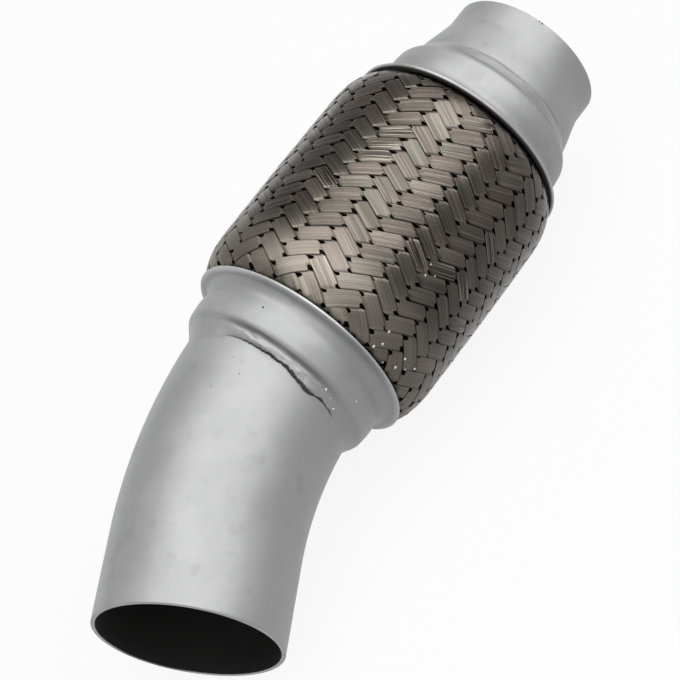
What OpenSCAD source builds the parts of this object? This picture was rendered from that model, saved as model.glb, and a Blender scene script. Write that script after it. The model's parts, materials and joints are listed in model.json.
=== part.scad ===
// Exhaust flex pipe: a braided flexible section between two welded steel tubes.
// The flex axis runs along X. The centre of the outlet's mouth is the origin,
// +X points out of it, and the bent inlet lies down on the floor at the other end.

/* [Tubes] */
// Outside diameter of the tube that is bent, and of the tube ends in the necks
tube_od = 60.3; // [50:0.1:70]
// Wall of both tubes
tube_wall = 1.2; // [0.8:0.1:2]
// Radius of the inlet's bend, on the tube's centre line
bend_radius = 159; // [120:1:300]
// Angle that the inlet turns away from the flex axis
bend_angle = 26; // [12:0.1:40]
// Straight length of the inlet past its bend
inlet_straight = 30; // [10:1:60]
// Outside diameter of the outlet at its mouth
outlet_od = 54; // [45:0.1:60]
// Length over which the outlet narrows
outlet_taper = 15; // [8:0.5:40]
// Straight land at the outlet's mouth
outlet_land = 8; // [5:0.5:40]

/* [End cups] */
// Thickness of the cups' sheet
cup_wall = 1.2; // [0.8:0.1:2]
// Length of a cup from its lip to the end of its neck
neck_len = 14.4; // [10:0.1:25]
// How far a lip stands out from its neck
lip_rise = 5.1; // [3.5:0.1:9]
// Radius of the curl between the neck and the lip
lip_curl = 4.2; // [2:0.1:6]
// Angle that the lip is flared through
lip_angle = 75; // [50:1:80]

/* [Welds] */
// Length of a weld bead along its tube
weld_len = 5.2; // [3:0.1:8]
// How much of the end of a neck's sheet a weld bead covers
weld_cover = 0.5; // [0.2:0.1:0.7]

/* [Braid] */
// Distance between the lips, over the braid
flex_len = 92; // [70:1:160]
// How far the braid's belly stands out past the lips
belly_rise = 3.2; // [1:0.1:6]
// Extra fullness of the belly at the middle
belly_crown = 0.4; // [0:0.1:2]
// Length of the rounded shoulder at each end of the braid
shoulder_len = 14; // [8:0.5:25]
// Thickness of the woven wall, over two ribbons
braid_wall = 1.9; // [1.6:0.1:3]
// Thickness of the braid where a neck clamps it flat
braid_clamped = 0.7; // [0.4:0.1:1.2]
// Ribbons that run each way round
carriers = 26; // [20:2:28]
// Crossings of each ribbon along the braid
picks = 15; // [8:1:17]
// Share by which the crossings open up towards the ends
pick_spread = 0.09; // [0:0.01:0.2]
// Depth of the holes between the ribbons
pit_depth = 1.3; // [0.5:0.1:1.4]
// Depth of the step where a ribbon dives under the next
dive_depth = 0.8; // [0.3:0.1:1.2]
// Depth of the seam between ribbons that lie side by side
seam_depth = 0.35; // [0.1:0.05:0.8]

/* [Bellows and liner] */
// Thickness of the bellows' sheet
bellows_wall = 0.4; // [0.2:0.05:0.6]
// Number of waves in the bellows
bellows_waves = 13; // [8:1:15]
// Plain length of the bellows inside each lip
bellows_lead = 7; // [6:0.5:12]
// Room between the bellows' crests and the braid
crest_gap = 0.5; // [0.3:0.1:3]
// Thickness of the liner's strip
liner_wall = 0.45; // [0.3:0.05:0.7]
// Depth of the liner's interlocked folds
liner_fold = 1.2; // [0.9:0.1:2]
// Number of turns in the liner
liner_turns = 15; // [8:1:20]

/* [Clearances] */
// Room between the layers inside the braid
layer_gap = 0.1; // [0.08:0.02:0.3]
// Room between the braid and the inside of a cup
lip_gap = 0.2; // [0.15:0.05:0.5]
// Least room between a tube and the neck it sits in
slip_gap = 0.15; // [0.05:0.05:0.5]
// How far the tube ends stop short of the lips
tube_inset = 3; // [1:0.5:6]

/* [Hidden] */

steel = [0.70, 0.71, 0.71];
bead_steel = [0.62, 0.62, 0.61];
braid_steel = [0.46, 0.43, 0.40];
inner_steel = [0.50, 0.48, 0.45];
round_fn = 128;

// Points round the braid: two to a ribbon
columns = 2 * carriers;

// Radii, from the tube outwards: the bent tube sways a little inside its neck,
// and the flats between the braid's points clear the bellows
tube_r = tube_od / 2;
bore_r = tube_r - tube_wall;
outlet_r = outlet_od / 2;
tube_grip = neck_len - tube_inset;
sway_angle = asin(tube_grip / bend_radius);
tube_sway = bend_radius * (1 - cos(sway_angle)) + tube_r * (1 / cos(sway_angle) - 1);
liner_r = tube_r + tube_sway + slip_gap;
cuff_r = liner_r + liner_wall + layer_gap;
clamp_r = (cuff_r + bellows_wall + layer_gap) / cos(180 / columns);
neck_in_r = clamp_r + braid_clamped + lip_gap;
neck_r = neck_in_r + cup_wall;
weld_r = neck_in_r + weld_cover;
lip_r = neck_r + lip_rise;
belly_r = lip_r + belly_rise;

// The lip's flare: an arc about curl_r, then a straight run to the edge
curl_r = neck_r + lip_curl;
lip_run = (lip_rise - lip_curl * (1 - cos(lip_angle))) / sin(lip_angle);
lip_depth = lip_curl * sin(lip_angle) + lip_run * cos(lip_angle);

// The braid leaves the lip here
pocket_curl = lip_curl + cup_wall + lip_gap;
pocket_r = curl_r - pocket_curl * cos(lip_angle);
pocket_l = pocket_curl * sin(lip_angle) - lip_depth;
weave_half = flex_len / 2 - pocket_l;

// Places along the flex axis
outlet_lip_x = -(neck_len + weld_len + outlet_taper + outlet_land);
inlet_lip_x = outlet_lip_x - flex_len;
middle_x = (outlet_lip_x + inlet_lip_x) / 2;

// At rest the belly and the inlet mouth's lower edge touch one floor.
// This is the sine of the angle by which the bend then points down.
inlet_swing = bend_radius * (1 - cos(bend_angle)) + inlet_straight * sin(bend_angle);
mouth_tilt = tube_r * sin(bend_angle);
rest_a = inlet_swing * inlet_swing + mouth_tilt * mouth_tilt;
rest_b = belly_r * inlet_swing;
rest_root = rest_b * rest_b - rest_a * (belly_r * belly_r - tube_r * tube_r);
rest_sine = rest_root < 0 ? 1 : min(1, (rest_b - sqrt(rest_root)) / rest_a);
rest_roll = asin(rest_sine);

// Turns a half-section about X: the section's X is the radius, its Y the length
module turned() {
    rotate([0, 90, 0])
        rotate_extrude($fn = round_fn)
            children();
}

// Stands a part on the outlet's lip, with its length towards the outlet
module from_outlet_lip() {
    translate([outlet_lip_x, 0, 0])
        children();
}

// Stands a part on the inlet's lip, with its length towards the inlet
module from_inlet_lip() {
    translate([inlet_lip_x, 0, 0])
        mirror([1, 0, 0])
            children();
}

// Sweeps a section along the inlet, from its straight mouth round the bend to the neck.
// The bend lies in a plane that leans down by the angle of rest.
module along_inlet() {
    translate([inlet_lip_x - tube_inset, 0, 0])
        rotate([rest_roll, 0, 0])
            mirror([1, -1, 0])
                translate([-bend_radius, 0, 0])
                    rotate([0, 0, -bend_angle]) {
                        rotate_extrude(angle = bend_angle, $fn = round_fn)
                            translate([bend_radius, 0])
                                children();
                        translate([bend_radius, 0, 0])
                            rotate([90, 0, 0])
                                linear_extrude(inlet_straight)
                                    children();
                    }
}

module inlet_tube() {
    color(steel)
        along_inlet()
            difference() {
                circle(r = tube_r, $fn = round_fn);
                circle(r = bore_r, $fn = round_fn);
            }
}

// Narrowing curve of the outlet: mostly a cone, eased at both ends
taper_steps = 12;
taper_ease = 0.4;
function eased(t) = (1 - taper_ease) * t + taper_ease * t * t * (3 - 2 * t);
function taper_side(start_r, end_r) =
    [for (i = [0 : taper_steps])
        let (t = i / taper_steps)
        [start_r + (end_r - start_r) * eased(t), neck_len + weld_len + outlet_taper * t]];

module outlet_tube() {
    outer = taper_side(tube_r, outlet_r);
    inner = taper_side(bore_r, outlet_r - tube_wall);
    color(steel)
        from_outlet_lip()
            turned()
                polygon(concat(
                    [[tube_r, tube_inset]], outer, [[outlet_r, -outlet_lip_x]],
                    [[outlet_r - tube_wall, -outlet_lip_x]],
                    [for (i = [taper_steps : -1 : 0]) inner[i]],
                    [[bore_r, tube_inset]]));
}

// Weld bead over the ends of all the layers in a neck, down to the tube: a quarter of an ellipse
bead_steps = 10;
bead_end = neck_len + weld_len;
bead_face = [for (i = [0 : bead_steps])
    let (a = 90 * i / bead_steps)
    [tube_r + (weld_r - tube_r) * cos(a), neck_len + weld_len * sin(a)]];

// Here the tube bends away under the bead, so the bead is cut to fit it
module inlet_weld() {
    color(bead_steel)
        difference() {
            from_inlet_lip()
                turned()
                    polygon(concat([[bore_r, neck_len]], bead_face, [[bore_r, bead_end]]));
            along_inlet()
                circle(r = tube_r, $fn = round_fn);
        }
}

module outlet_weld() {
    color(bead_steel)
        from_outlet_lip()
            turned()
                polygon(concat([[tube_r, neck_len]], bead_face));
}

// Points of the lip's flare at a distance from the curl's centre
flare_steps = 8;
function flare_point(rho, angle) = [curl_r - rho * cos(angle), lip_depth - rho * sin(angle)];
function flare(rho) = [for (i = [0 : flare_steps]) flare_point(rho, lip_angle * i / flare_steps)];

// Half-section of a cup: a rounded neck end, a straight neck and a flared lip
module cup_section() {
    outer = flare(lip_curl);
    inner = flare(lip_curl + cup_wall);
    edge_round = cup_wall - weld_cover;
    edge_steps = 6;
    polygon(concat(
        [[neck_in_r, neck_len]],
        [for (i = [0 : edge_steps])
            let (a = 90 * i / edge_steps)
            [neck_r - edge_round * (1 - sin(a)), neck_len - edge_round * (1 - cos(a))]],
        outer,
        [[lip_r, 0]],
        [[lip_r - cup_wall * cos(lip_angle), -cup_wall * sin(lip_angle)]],
        [for (i = [flare_steps : -1 : 0]) inner[i]]));
}

module inlet_cup() {
    color(steel)
        from_inlet_lip()
            turned()
                cup_section();
}

module outlet_cup() {
    color(steel)
        from_outlet_lip()
            turned()
                cup_section();
}

// Bellows: a wave of quarter and half bends between two plain cuffs
wave_pitch = (flex_len - 2 * bellows_lead) / bellows_waves;
wave_bend = wave_pitch / 4;
root_r = cuff_r + bellows_wall / 2;
crest_r = belly_r - belly_crown - braid_wall - crest_gap - bellows_wall / 2;
bend_step = 30;
function root_point(side, x, a) =
    let (rho = wave_bend - side * bellows_wall / 2)
    [root_r + wave_bend - rho * cos(a), x + rho * sin(a)];
function crest_point(side, x, a) =
    let (rho = wave_bend + side * bellows_wall / 2)
    [crest_r - wave_bend + rho * sin(a), x - rho * cos(a)];
function wave_side(side) =
    [for (i = [0 : bellows_waves - 1])
        let (x = bellows_lead + i * wave_pitch)
        each concat(
            [for (a = [0 : bend_step : 90]) root_point(side, x, a)],
            [for (a = [0 : bend_step : 180]) crest_point(side, x + 2 * wave_bend, a)],
            [for (a = [90 : -bend_step : bend_step]) root_point(side, x + wave_pitch, -a)])];

module bellows() {
    outer = wave_side(1);
    inner = wave_side(-1);
    cuff_out_r = cuff_r + bellows_wall;
    color(inner_steel)
        translate([inlet_lip_x, 0, 0])
            turned()
                polygon(concat(
                    [[cuff_out_r, -neck_len]], outer, [[cuff_out_r, flex_len + neck_len]],
                    [[cuff_r, flex_len + neck_len]],
                    [for (i = [len(inner) - 1 : -1 : 0]) inner[i]],
                    [[cuff_r, -neck_len]]));
}

// Liner: strip wound on itself, which leaves square folds between two plain cuffs
turn_pitch = flex_len / liner_turns;
function fold_side(drop_shift, r) =
    [for (i = [0 : liner_turns - 1])
        let (x = i * turn_pitch)
        each [[r, x + turn_pitch / 4 - drop_shift],
              [r - liner_fold, x + turn_pitch / 4 - drop_shift],
              [r - liner_fold, x + turn_pitch * 3 / 4 + drop_shift],
              [r, x + turn_pitch * 3 / 4 + drop_shift]]];

module liner() {
    liner_out_r = liner_r + liner_wall;
    outer = fold_side(0, liner_out_r);
    inner = fold_side(liner_wall, liner_r);
    color(inner_steel)
        translate([inlet_lip_x, 0, 0])
            turned()
                polygon(concat(
                    [[liner_out_r, -neck_len]], outer, [[liner_out_r, flex_len + neck_len]],
                    [[liner_r, flex_len + neck_len]],
                    [for (i = [len(inner) - 1 : -1 : 0]) inner[i]],
                    [[liner_r, -neck_len]]));
}

// The braid is one wall, meshed in staggered rings of points.
// A crossing takes four rings, so its ribbons, seams and holes each get a point.
weave_rings = 4 * picks;

// Outline of the woven stretch, about its middle: an elliptic shoulder at each end, and a crown
function weave_x(t) = weave_half * ((1 - pick_spread) * t + pick_spread * t * t * t);
function shoulder(x) =
    let (d = min(1, (weave_half - abs(x)) / shoulder_len))
    sqrt(max(0, 1 - (1 - d) * (1 - d)));
function crown(x) = belly_crown * (1 - x * x / (weave_half * weave_half));
function braid_r(x) = pocket_r + shoulder(x) * (belly_r - belly_crown - pocket_r + crown(x));
function wall_at(x) = braid_clamped + (braid_wall - braid_clamped) * shoulder(x);

// Two over, two under: is the first way's ribbon on top where ribbons i and j cross?
function first_over(i, j) = (i + j) % 4 < 2;
function depth_between(over_before, over_after) =
    over_before && over_after ? 0 : over_before || over_after ? dive_depth : seam_depth;

// Depth of the woven face at half-steps m and n along the two ways
function weave_depth(m, n) =
    m % 2 == 0 && n % 2 == 0 ? 0
    : m % 2 != 0 && n % 2 != 0 ? pit_depth
    : m % 2 == 0
        ? depth_between(first_over(m / 2, (n - 1) / 2), first_over(m / 2, (n + 1) / 2))
        : depth_between(!first_over((m - 1) / 2, n / 2), !first_over((m + 1) / 2, n / 2));

function ring_point(x, r, ring, k) =
    let (a = (2 * k + ring % 2) * 180 / columns)
    [x, r * cos(a), r * sin(a)];
function plain_ring(at, ring) = [for (k = [0 : columns - 1]) ring_point(at[0], at[1], ring, k)];
function woven_ring(ring, first_ring) =
    let (x = weave_x(2 * ring / weave_rings - 1), r = braid_r(x), share = wall_at(x) / braid_wall)
    [for (k = [0 : columns - 1])
        let (q = 2 * k + ring % 2)
        ring_point(x, r - share * weave_depth((q + ring) / 2, (q - ring) / 2), first_ring + ring, k)];

// Plain stretches: along the neck, round the lip's curl and back along the inside
tuck_steps = 3;
inner_rings = 13;
function tuck(rho, neck_side_r, last_step) =
    concat([[neck_side_r, neck_len]],
           [for (i = [0 : last_step]) flare_point(rho, lip_angle * i / tuck_steps)]);
function at_inlet(places) = [for (p = places) [-flex_len / 2 - p[1], p[0]]];
function at_outlet(places) = [for (p = places) [flex_len / 2 + p[1], p[0]]];
function backwards(list) = [for (i = [len(list) - 1 : -1 : 0]) list[i]];
outer_tuck = tuck(pocket_curl, clamp_r + braid_clamped, tuck_steps - 1);
inner_tuck = tuck(pocket_curl + braid_clamped, clamp_r, tuck_steps);
inside = [for (i = [0 : inner_rings - 1])
    let (x = (weave_half - braid_wall) * cos(180 * i / (inner_rings - 1)))
    [x, braid_r(x) - wall_at(x)]];

// The two triangles between point k of ring i and the next ring
function strip_faces(i, k, count) =
    let (a = i * columns, b = ((i + 1) % count) * columns, next = (k + 1) % columns)
    i % 2 == 0
        ? [[a + k, b + k, a + next], [a + next, b + k, b + next]]
        : [[a + k, b + k, b + next], [a + k, b + next, a + next]];

module braid() {
    lead_in = at_inlet(outer_tuck);
    way_back = concat(
        backwards(at_outlet(outer_tuck)), at_outlet(inner_tuck),
        inside, backwards(at_inlet(inner_tuck)));
    woven_start = len(lead_in);
    woven_end = woven_start + weave_rings + 1;
    rings = concat(
        [for (i = [0 : woven_start - 1]) plain_ring(lead_in[i], i)],
        [for (i = [0 : weave_rings]) woven_ring(i, woven_start)],
        [for (i = [0 : len(way_back) - 1]) plain_ring(way_back[i], woven_end + i)]);
    count = len(rings);
    color(braid_steel)
        translate([middle_x, 0, 0])
            polyhedron(
                points = [for (ring = rings) each ring],
                faces = [for (i = [0 : count - 1], k = [0 : columns - 1]) each strip_faces(i, k, count)],
                convexity = 6);
}

inlet_tube();
inlet_weld();
inlet_cup();
braid();
bellows();
liner();
outlet_cup();
outlet_weld();
outlet_tube();
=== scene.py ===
"""Dresses an exhaust flex pipe: woven braid, spun cups, welded tubes and a plain studio."""
import json
import math

import bmesh
import bpy
from bpy.props import FloatProperty, FloatVectorProperty, IntProperty, PointerProperty
from mathutils import Matrix, Vector, noise


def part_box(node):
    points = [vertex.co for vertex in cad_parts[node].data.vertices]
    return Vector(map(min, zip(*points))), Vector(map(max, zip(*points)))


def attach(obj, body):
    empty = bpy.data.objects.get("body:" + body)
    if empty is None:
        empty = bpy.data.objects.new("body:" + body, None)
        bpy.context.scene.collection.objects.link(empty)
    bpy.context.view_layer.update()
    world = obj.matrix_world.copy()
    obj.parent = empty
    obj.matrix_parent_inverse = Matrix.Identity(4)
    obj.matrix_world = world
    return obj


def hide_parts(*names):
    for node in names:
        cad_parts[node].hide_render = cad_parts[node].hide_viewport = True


bl_info = {
    "name": "Exhaust flex pipe",
    "version": (1, 0, 0),
    "blender": (4, 5, 0),
    "location": "View3D > Sidebar > Flex pipe",
    "description": "Builds the braid, cups, welds and tubes of an exhaust flex pipe on its solids",
    "category": "Add Mesh",
}

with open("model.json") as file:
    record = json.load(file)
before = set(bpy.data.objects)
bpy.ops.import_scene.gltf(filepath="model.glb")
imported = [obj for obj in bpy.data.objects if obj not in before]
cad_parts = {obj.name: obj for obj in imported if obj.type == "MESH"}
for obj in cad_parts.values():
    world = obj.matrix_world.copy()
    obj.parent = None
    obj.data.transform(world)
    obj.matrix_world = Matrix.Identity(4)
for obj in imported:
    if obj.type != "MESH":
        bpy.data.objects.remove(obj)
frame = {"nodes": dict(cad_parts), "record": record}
MOUNTS = {mount["name"]: mount for mount in frame["record"]["mounts"]}
INLET_MOUTH = Vector(MOUNTS["inlet_end"]["pos_m"])
INLET_AXIS = Vector(MOUNTS["inlet_end"]["axis"])
BEND_SIDE = Vector((0, INLET_AXIS.y, INLET_AXIS.z)).normalized()
BEND_NORMAL = BEND_SIDE.cross(Vector((1, 0, 0)))
MM_PER_M = 1000
NECK_LENGTH = 0.0144

# Open part of the crease at a neck's end: middle and half-width, degrees from the side of the bend
OPEN_CREASE = (-78, 36)


def half_height(node):
    """Half of a round node's height."""
    low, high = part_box(node)
    return (high[2] - low[2]) / 2


def mount_size(mount, key):
    """One of a mount's sizes, in metres."""
    return MOUNTS[mount]["dims"][key] / MM_PER_M


class PipeSizes(bpy.types.PropertyGroup):
    """Sizes of the tubes, cups and welds."""
    tube_radius: FloatProperty(
        name="Tube radius", description="Outside radius of the tubes in their necks",
        default=mount_size("inlet_end", "r_mm"), unit="LENGTH")
    tube_wall: FloatProperty(
        name="Tube wall", description="Thickness of both tubes", default=0.0012, unit="LENGTH")
    bend_radius: FloatProperty(
        name="Bend radius", description="Radius of the inlet's bend on its centre line",
        default=0.159, unit="LENGTH")
    bend_angle: FloatProperty(
        name="Bend angle", description="Angle that the inlet turns through",
        default=math.acos(-INLET_AXIS.x), subtype="ANGLE")
    inlet_straight: FloatProperty(
        name="Inlet end", description="Straight length of the inlet past its bend",
        default=mount_size("inlet_end", "length_mm"), unit="LENGTH")
    tube_inset: FloatProperty(
        name="Tube inset", description="How far the tube ends stop short of the lips",
        default=0.003, unit="LENGTH")
    outlet_radius: FloatProperty(
        name="Outlet radius", description="Outside radius of the outlet's mouth",
        default=mount_size("outlet_end", "r_mm"), unit="LENGTH")
    outlet_taper: FloatProperty(
        name="Outlet taper", description="Length over which the outlet narrows",
        default=0.015, unit="LENGTH")
    cup_wall: FloatProperty(
        name="Cup wall", description="Thickness of the cups' sheet", default=0.0012, unit="LENGTH")
    neck_length: FloatProperty(
        name="Neck length", description="Length of a cup from its lip to its end",
        default=NECK_LENGTH, unit="LENGTH")
    neck_round: FloatProperty(
        name="Neck rounding", description="Length over which a neck's end is rounded off",
        default=0.0024, unit="LENGTH")
    neck_crown: FloatProperty(
        name="Neck crown", description="How far a neck swells at its middle",
        default=0.0003, unit="LENGTH")
    lip_radius: FloatProperty(
        name="Lip radius", description="Outside radius of the flared lips",
        default=half_height("inlet_cup"), unit="LENGTH")
    lip_rise: FloatProperty(
        name="Lip rise", description="How far a lip stands out from its neck",
        default=0.0051, unit="LENGTH")
    lip_curl: FloatProperty(
        name="Lip curl", description="Radius of the curl between neck and lip",
        default=0.0042, unit="LENGTH")
    lip_angle: FloatProperty(
        name="Lip angle", description="Angle that the lip is flared through",
        default=math.radians(75), subtype="ANGLE")
    weld_length: FloatProperty(
        name="Weld length", description="Length of a weld bead along its tube",
        default=0.0052, unit="LENGTH")
    inlet_lip: FloatProperty(
        name="Inlet lip", description="Place of the inlet's lip along the flex axis",
        default=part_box("inlet_weld")[1][0] + NECK_LENGTH, unit="LENGTH")
    outlet_lip: FloatProperty(
        name="Outlet lip", description="Place of the outlet's lip along the flex axis",
        default=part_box("outlet_weld")[0][0] - NECK_LENGTH, unit="LENGTH")


class BraidSizes(bpy.types.PropertyGroup):
    """Sizes of the woven ribbons."""
    ribbons: IntProperty(
        name="Ribbons", description="Ribbons that run each way round", default=26)
    picks: FloatProperty(
        name="Picks", description="Crossings of each ribbon along the braid", default=15)
    spread: FloatProperty(
        name="Spread", description="Share by which the crossings open towards the ends",
        default=0.09, subtype="FACTOR")
    turn: FloatProperty(
        name="Turn", description="Angle of the weave's first column from the side of the bend",
        default=math.radians(-86.36), subtype="ANGLE")
    shift: FloatProperty(
        name="Shift", description="Crossings from the weave's start to the braid's middle",
        default=3.83)
    width: FloatProperty(
        name="Ribbon width", description="Width of a ribbon as a share of its room",
        default=0.98, subtype="FACTOR")
    thickness: FloatProperty(
        name="Ribbon thickness", description="Thickness of one ribbon",
        default=0.00016, unit="LENGTH")
    drop: FloatProperty(
        name="Drop", description="How far a ribbon goes down where it runs under",
        default=0.0004, unit="LENGTH")
    dive: FloatProperty(
        name="Dive", description="Length of a dive as a share of a crossing",
        default=0.32, subtype="FACTOR")
    pinch: FloatProperty(
        name="Pinch", description="How far a ribbon's edge draws in beside a dive",
        default=0.24, subtype="FACTOR")
    pit: FloatProperty(
        name="Pit", description="Length of the drawn-in edge beside a dive",
        default=0.27, subtype="FACTOR")
    crown: FloatProperty(
        name="Ribbon crown", description="How far a ribbon's edges lie below its middle",
        default=0.00005, unit="LENGTH")
    belly_radius: FloatProperty(
        name="Belly radius", description="Outside radius at the braid's middle",
        default=half_height("braid"), unit="LENGTH")
    belly_crown: FloatProperty(
        name="Belly crown", description="Extra fullness at the middle",
        default=0.0004, unit="LENGTH")
    shoulder: FloatProperty(
        name="Shoulder", description="Length of the rounded shoulder at each end",
        default=0.014, unit="LENGTH")
    pocket_radius: FloatProperty(
        name="Pocket radius", description="Radius at which the braid leaves a lip",
        default=0.03665, unit="LENGTH")
    pocket_lean: FloatProperty(
        name="Pocket lean", description="How much nearer the braid lies to the inlet's lip",
        default=0.0004, unit="LENGTH")
    pocket_inset: FloatProperty(
        name="Pocket inset", description="Where the braid leaves a lip, from the lip's edge",
        default=0.0015, unit="LENGTH")


class FinishColours(bpy.types.PropertyGroup):
    """Colours of the metals."""
    steel: FloatVectorProperty(
        name="Steel", description="Satin steel of the tubes and cups",
        default=(0.4, 0.4, 0.403), subtype="COLOR")
    weld: FloatVectorProperty(
        name="Weld", description="Weld beads and spatter",
        default=(0.4, 0.4, 0.403), subtype="COLOR")
    wire: FloatVectorProperty(
        name="Wire", description="Steel wire of the braid",
        default=(0.17, 0.152, 0.13), subtype="COLOR")
    # Also the painted black shade on the bellows and the liner
    soot: FloatVectorProperty(
        name="Soot", description="Dark inside of the tubes",
        default=(0.009, 0.0088, 0.0085), subtype="COLOR")


class StageSettings(bpy.types.PropertyGroup):
    """Camera and light."""
    camera_place: FloatVectorProperty(
        name="Camera place", description="Where the camera stands",
        default=(-0.395761, -0.502976, 0.503792), subtype="TRANSLATION")
    camera_turn: FloatVectorProperty(
        name="Camera turn", description="How the camera is turned",
        default=(math.radians(43.2176), math.radians(23.3887), math.radians(-51.6594)),
        subtype="EULER")
    lens: FloatProperty(
        name="Lens", description="Focal length in millimetres", default=124.479)
    key_place: FloatVectorProperty(
        name="Key place", description="Where the light overhead hangs",
        default=(0.45, -0.36, 1.32), subtype="TRANSLATION")
    key_power: FloatProperty(
        name="Key light", description="Power of the light overhead", default=37.0, unit="POWER")
    side_place: FloatVectorProperty(
        name="Side place", description="Where the light past the inlet hangs",
        default=(-1.1, -0.45, 0.9), subtype="TRANSLATION")
    side_power: FloatProperty(
        name="Side light", description="Power of the light past the inlet",
        default=4.5, unit="POWER")
    room_light: FloatProperty(
        name="Room light", description="Strength of the light from all round", default=0.35)


# Shader values and finishes

class Value:
    """A socket that takes part in sums: each operator adds a Math node."""

    def __init__(self, finish, socket):
        self.finish = finish
        self.socket = socket

    def maths(self, operation, *terms):
        return self.finish.node("ShaderNodeMath", {"operation": operation}, dict(enumerate(terms)))

    def __add__(self, other):
        return self.maths("ADD", self, other)

    def __radd__(self, other):
        return self.maths("ADD", other, self)

    def __sub__(self, other):
        return self.maths("SUBTRACT", self, other)

    def __rsub__(self, other):
        return self.maths("SUBTRACT", other, self)

    def __mul__(self, other):
        return self.maths("MULTIPLY", self, other)

    def __rmul__(self, other):
        return self.maths("MULTIPLY", other, self)

    def whole(self):
        return self.maths("FLOOR", self)

    def part(self):
        return self.maths("FRACT", self)

    def size(self):
        return self.maths("ABSOLUTE", self)

    def larger(self, other):
        return self.maths("MAXIMUM", self, other)

    def rise(self, low, high):
        """0 below low, 1 above high, smooth between; high may be the lower one."""
        if low > high:
            return 1.0 - self.rise(high, low)
        return self.finish.node("ShaderNodeMapRange", {"interpolation_type": "SMOOTHSTEP"},
                                {"Value": self, "From Min": low, "From Max": high})


class Finish:
    """A material whose nodes are made by one method."""

    # Sockets of a Mix node that mixes colours
    MIX_SIDES = (6, 7)
    MIX_RESULT = 2

    def __init__(self, name):
        self.material = bpy.data.materials.new(name)
        self.material.use_nodes = True
        self.tree = self.material.node_tree
        self.tree.nodes.clear()

    def node(self, kind, settings, inputs, output=0):
        """Adds a node, sets it up and returns one of its outputs."""
        made = self.tree.nodes.new(kind)
        for key, value in settings.items():
            setattr(made, key, value)
        for key, value in inputs.items():
            if isinstance(value, Value):
                self.tree.links.new(value.socket, made.inputs[key])
            else:
                made.inputs[key].default_value = value
        return Value(self, made.outputs[output]) if made.outputs else None

    def place(self):
        return self.node("ShaderNodeTexCoord", {}, {}, "Object")

    def axis(self, vector, letter):
        return self.node("ShaderNodeSeparateXYZ", {}, {"Vector": vector}, letter)

    def marked(self, name):
        """A share that the mesh's vertices carry."""
        return self.node("ShaderNodeAttribute", {"attribute_name": name}, {}, "Fac")

    def noise(self, vector, scale, detail=2.0, roughness=0.5):
        return self.node("ShaderNodeTexNoise", {}, {
            "Vector": vector, "Scale": scale, "Detail": detail, "Roughness": roughness})

    def colour(self, factor, first, second, blend="MIX"):
        """Mixes two colours, each a value or three numbers."""
        sides = {key: side if isinstance(side, Value) else (*side, 1.0)
                 for key, side in zip(self.MIX_SIDES, (first, second))}
        return self.node("ShaderNodeMix", {"data_type": "RGBA", "blend_type": blend},
                         {0: factor, **sides}, self.MIX_RESULT)

    def layered(self, tone, colour, *layers):
        """Lays shades of a colour over a tone: each has its share and its lightness."""
        for share, lightness in layers:
            tone = self.colour(share, tone, shade(colour, lightness))
        return tone

    def darkened(self, tone, share, level):
        """A tone that is brought down to a level, by a share."""
        return self.colour(share, tone, (level, level, level), "MULTIPLY")

    def bump(self, height, strength, distance):
        return self.node("ShaderNodeBump", {}, {
            "Height": height, "Strength": strength, "Distance": distance})

    def surface(self, **inputs):
        shader = self.node("ShaderNodeBsdfPrincipled", {}, {
            key.replace("_", " "): value for key, value in inputs.items()})
        self.node("ShaderNodeOutputMaterial", {}, {"Surface": shader})
        return self.material


class BlastedSteel(Finish):
    """Blasted steel: fine grain and faint blotches."""

    def __init__(self, name, colour):
        super().__init__(name)
        self.spot = self.place()
        grain = self.noise(self.spot, scale=2600.0)
        self.blotch = self.noise(self.spot, scale=55.0, detail=4.0, roughness=0.6)
        self.tone = self.colour(
            self.blotch.rise(0.3, 0.7), shade(colour, 0.92), shade(colour, 1.06))
        self.dullness = 0.38 + grain * 0.1 + self.blotch * 0.06
        self.relief = grain + self.blotch * 0.5

    def painted_underside_shade(self, tone):
        """A tone with shade painted on where the surface faces sideways or down."""
        return self.darkened(tone, self.marked("under") * (0.3 + self.blotch * 0.25), 0.25)

    def blasted(self, tone, roughness, relief):
        return self.surface(Base_Color=tone, Metallic=0.45, Roughness=roughness,
                            Normal=self.bump(relief, strength=0.12, distance=0.0002))


def shade(colour, factor):
    """A colour made lighter or darker."""
    return tuple(min(1.0, channel * factor) for channel in colour)


def blasted_sheet(name, colour):
    """Sheet of the tubes and cups: smudges, a few rubbed marks, bright worn edges, soot and painted
    shade.
    """
    finish = BlastedSteel(name, colour)
    smudge = finish.noise(finish.spot, scale=150.0, detail=3.0, roughness=0.55)
    rubbed = finish.noise(finish.spot, scale=190.0, detail=5.0, roughness=0.7).rise(0.62, 0.75)
    worn = finish.marked("worn")
    tone = finish.layered(
        finish.tone, colour,
        (smudge.rise(0.55, 0.75) * 0.5, 0.78),
        (rubbed * 0.35, 0.8),
        (worn * finish.blotch.rise(0.25, 0.6) * 0.8, 1.9))
    # Painted shade where the sheet faces sideways or down, soot on the inlet's rim, painted shade
    # on the cups
    tone = finish.layered(finish.painted_underside_shade(tone), colour, (finish.marked("grime") * 0.9, 0.05))
    return finish.blasted(tone, finish.dullness - rubbed * 0.06 - worn * 0.1, finish.relief)


def bead_metal(name, colour):
    """Weld bead: ripples, painted shade in the crease and a painted black shadow line at the toe.
    """
    finish = BlastedSteel(name, colour)
    ripple = finish.noise(finish.spot, scale=700.0, detail=3.0, roughness=0.6)
    toe = finish.marked("toe")
    line = (toe + (ripple - 0.5) * toe).rise(0.35, 0.75)
    tone = finish.layered(
        finish.painted_underside_shade(finish.tone), colour,
        # Painted shade in the crease
        (finish.marked("crease") * 0.92, 0.26),
        # Painted black shadow along the toe
        (line * 0.92, 0.06))
    return finish.blasted(tone, finish.dullness + toe * 0.2, finish.relief + ripple * 0.8)
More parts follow.
